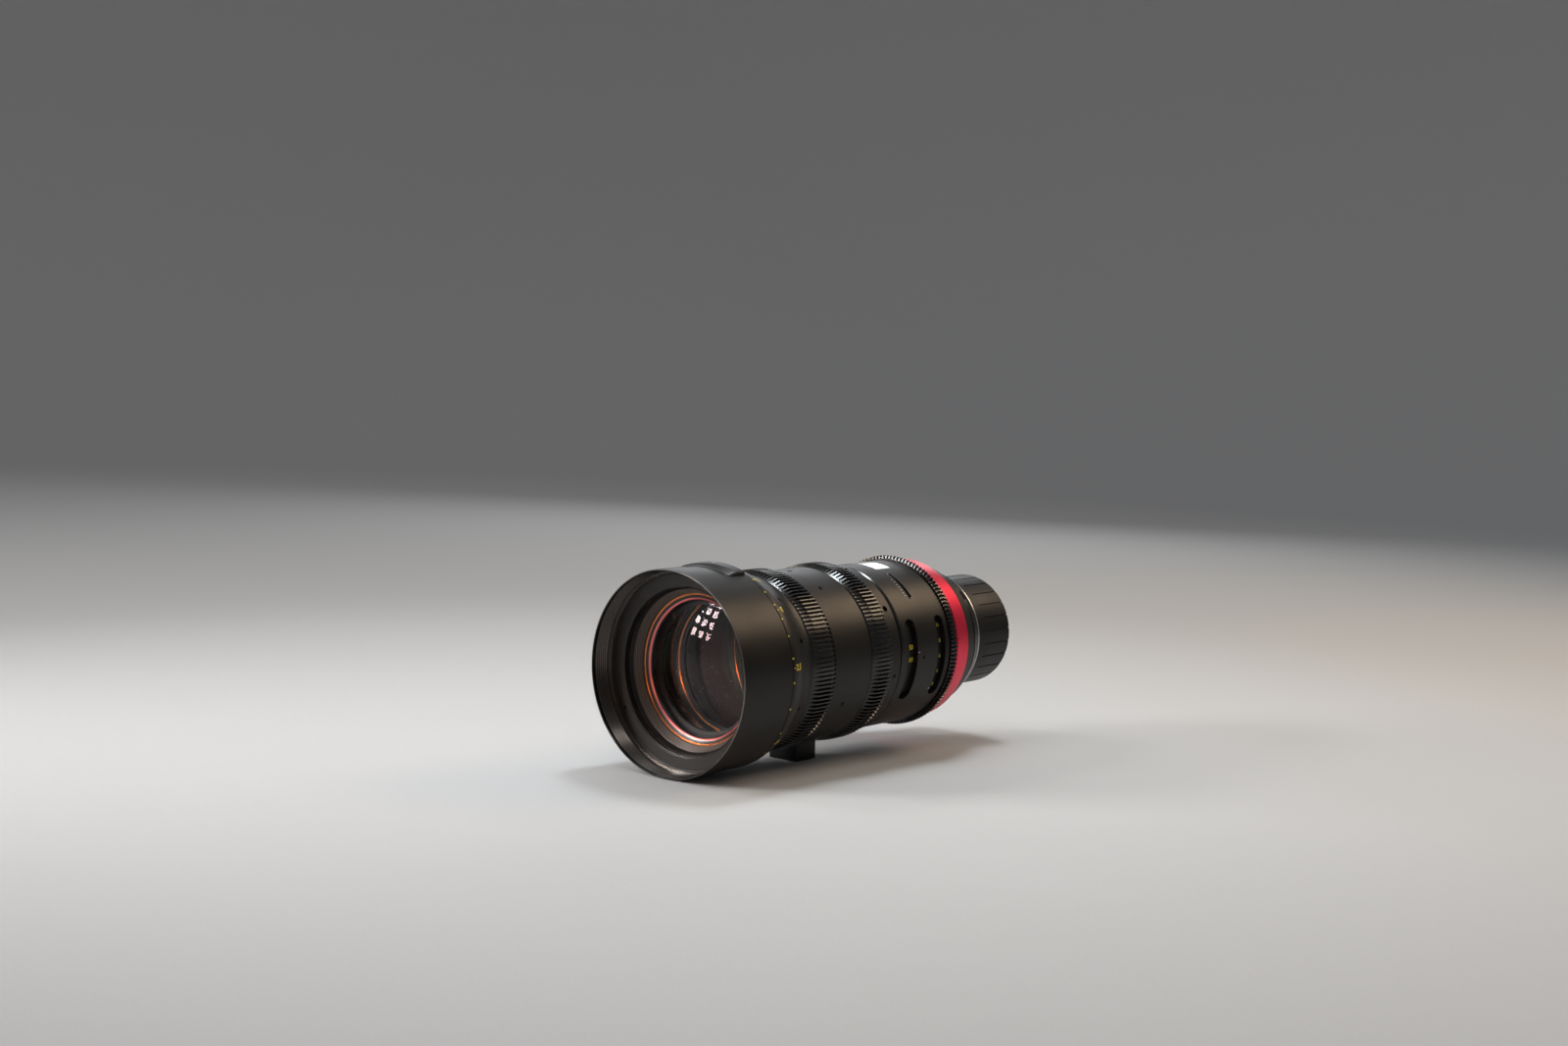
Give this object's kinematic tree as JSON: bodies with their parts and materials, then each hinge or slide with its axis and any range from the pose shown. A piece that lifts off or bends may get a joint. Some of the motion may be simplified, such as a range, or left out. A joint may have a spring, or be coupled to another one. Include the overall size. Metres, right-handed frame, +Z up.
{
  "type": "cinema zoom lens",
  "caption": "Cinema zoom lens with geared focus, zoom and iris rings, scale windows, red ring, support foot and a rear cap over its camera mount.",
  "frame": {"origin": "centre of the camera mount's flange plane, on the optical axis", "axes": "+Y along the optical axis towards the camera, -Y towards the front glass, +Z up, +X the side of the scale windows"},
  "size_m": [0.114, 0.275, 0.1184],
  "materials": {
    "black_anodised": "satin black anodised",
    "black_gear": "satin black anodised teeth",
    "mouth_bronze": "fine-turned dark anodised",
    "red_anodised": "satin red anodised",
    "scale_drum_black": "matte black with engraved scale",
    "mount_black": "gloss black",
    "mount_steel": "ground",
    "plate_gloss": "polished black",
    "screw_black": "blackened",
    "inner_aluminium": "matte anodised",
    "cell_black": "matte black",
    "pin_brass": "turned",
    "blade_steel": "blackened spring steel",
    "coated_glass": "coated",
    "cap_plastic": "moulded matte"
  },
  "bodies": {
    "lens_body": {"front_ring": "black_anodised", "front_housing": "black_anodised", "index_pad": "black_anodised", "mouth_retaining_ring": "mouth_bronze", "front_lens_cell": "mouth_bronze", "front_glass_ring": "mouth_bronze", "front_element": "coated_glass", "second_element": "coated_glass", "main_barrel": "inner_aluminium", "middle_body": "black_anodised", "middle_body_screws": "screw_black", "support_foot": "black_anodised", "foot_screws": "screw_black", "rear_body": "black_anodised", "rear_body_screws": "screw_black", "top_plate": "plate_gloss", "relay_front_cell": "cell_black", "relay_front_element": "coated_glass", "iris_housing": "inner_aluminium", "relay_cell": "cell_black", "relay_element": "coated_glass", "red_ring": "red_anodised", "tail_cone": "black_anodised", "mount_ring": "mount_black", "mount_flange": "mount_steel", "mount_screws": "mount_steel", "rear_barrel": "cell_black", "rear_element": "coated_glass"},
    "focus_ring_body": {"focus_ring": "black_anodised", "focus_gear": "black_gear", "focus_ring_screws": "screw_black"},
    "focus_group": {"focus_cell": "cell_black", "focus_element": "coated_glass", "focus_follower_pins": "pin_brass"},
    "zoom_ring_body": {"zoom_ring": "black_anodised", "zoom_gear": "black_gear", "zoom_ring_screws": "screw_black", "zoom_cam_tube": "inner_aluminium", "zoom_scale_drum": "scale_drum_black"},
    "variator_group": {"variator_cell": "cell_black", "variator_element": "coated_glass", "variator_follower_pins": "pin_brass"},
    "compensator_group": {"compensator_cell": "cell_black", "compensator_element": "coated_glass", "compensator_follower_pins": "pin_brass"},
    "iris_ring_body": {"iris_gear_ring": "black_gear", "iris_scale_drum": "scale_drum_black", "iris_drive_ring": "inner_aluminium", "iris_drive_pin": "pin_brass"},
    "rear_cap_body": {"rear_cap": "cap_plastic"},
    "blade_1": {"iris_blade_1": "blade_steel"},
    "blade_2": {"iris_blade_2": "blade_steel"},
    "blade_3": {"iris_blade_3": "blade_steel"},
    "blade_4": {"iris_blade_4": "blade_steel"},
    "blade_5": {"iris_blade_5": "blade_steel"},
    "blade_6": {"iris_blade_6": "blade_steel"},
    "blade_7": {"iris_blade_7": "blade_steel"},
    "blade_8": {"iris_blade_8": "blade_steel"},
    "blade_9": {"iris_blade_9": "blade_steel"}
  },
  "joints": [
    {"name": "focus_turn", "type": "hinge", "parent": "lens_body", "child": "focus_ring_body", "pos_m": [0, -0.1747, 0], "axis": [0, 1, 0], "range_deg": [-20, 290]},
    {"name": "focus_slide", "type": "slide", "parent": "lens_body", "child": "focus_group", "axis": [0, 1, 0], "range_m": [-0.00082, 0.01162]},
    {"name": "zoom_turn", "type": "hinge", "parent": "lens_body", "child": "zoom_ring_body", "pos_m": [0, -0.1047, 0], "axis": [0, 1, 0], "range_deg": [-25, 75]},
    {"name": "variator_slide", "type": "slide", "parent": "lens_body", "child": "variator_group", "axis": [0, 1, 0], "range_m": [-0.00602, 0.01802]},
    {"name": "compensator_slide", "type": "slide", "parent": "lens_body", "child": "compensator_group", "axis": [0, 1, 0], "range_m": [-0.00602, 0.00202]},
    {"name": "iris_turn", "type": "hinge", "parent": "lens_body", "child": "iris_ring_body", "pos_m": [0, -0.0417, 0], "axis": [0, 1, 0], "range_deg": [0, 80]},
    {"name": "rear_cap_pull", "type": "slide", "parent": "lens_body", "child": "rear_cap_body", "axis": [0, 1, 0], "range_m": [0, 0.05]},
    {"name": "blade_1_swing", "type": "hinge", "parent": "lens_body", "child": "blade_1", "pos_m": [0, -0.0517, 0.0357], "axis": [0, 1, 0], "range_deg": [0, 30.1]},
    {"name": "blade_2_swing", "type": "hinge", "parent": "lens_body", "child": "blade_2", "pos_m": [0.02295, -0.0517, 0.02735], "axis": [0, 1, 0], "range_deg": [0, 30.1]},
    {"name": "blade_3_swing", "type": "hinge", "parent": "lens_body", "child": "blade_3", "pos_m": [0.03516, -0.0517, 0.0062], "axis": [0, 1, 0], "range_deg": [0, 30.1]},
    {"name": "blade_4_swing", "type": "hinge", "parent": "lens_body", "child": "blade_4", "pos_m": [0.03092, -0.0517, -0.01785], "axis": [0, 1, 0], "range_deg": [0, 30.1]},
    {"name": "blade_5_swing", "type": "hinge", "parent": "lens_body", "child": "blade_5", "pos_m": [0.01221, -0.0517, -0.03355], "axis": [0, 1, 0], "range_deg": [0, 30.1]},
    {"name": "blade_6_swing", "type": "hinge", "parent": "lens_body", "child": "blade_6", "pos_m": [-0.01221, -0.0517, -0.03355], "axis": [0, 1, 0], "range_deg": [0, 30.1]},
    {"name": "blade_7_swing", "type": "hinge", "parent": "lens_body", "child": "blade_7", "pos_m": [-0.03092, -0.0517, -0.01785], "axis": [0, 1, 0], "range_deg": [0, 30.1]},
    {"name": "blade_8_swing", "type": "hinge", "parent": "lens_body", "child": "blade_8", "pos_m": [-0.03516, -0.0517, 0.0062], "axis": [0, 1, 0], "range_deg": [0, 30.1]},
    {"name": "blade_9_swing", "type": "hinge", "parent": "lens_body", "child": "blade_9", "pos_m": [-0.02295, -0.0517, 0.02735], "axis": [0, 1, 0], "range_deg": [0, 30.1]}
  ],
  "couplings": [
    {"joint": "focus_slide", "follows": "focus_turn", "m_per_rad": 0.0022918},
    {"joint": "variator_slide", "follows": "zoom_turn", "m_per_rad": 0.013751},
    {"joint": "compensator_slide", "follows": "zoom_turn", "m_per_rad": -0.0045837},
    {"joint": "blade_1_swing", "follows": "iris_turn", "ratio": 0.375},
    {"joint": "blade_2_swing", "follows": "iris_turn", "ratio": 0.375},
    {"joint": "blade_3_swing", "follows": "iris_turn", "ratio": 0.375},
    {"joint": "blade_4_swing", "follows": "iris_turn", "ratio": 0.375},
    {"joint": "blade_5_swing", "follows": "iris_turn", "ratio": 0.375},
    {"joint": "blade_6_swing", "follows": "iris_turn", "ratio": 0.375},
    {"joint": "blade_7_swing", "follows": "iris_turn", "ratio": 0.375},
    {"joint": "blade_8_swing", "follows": "iris_turn", "ratio": 0.375},
    {"joint": "blade_9_swing", "follows": "iris_turn", "ratio": 0.375}
  ]
}
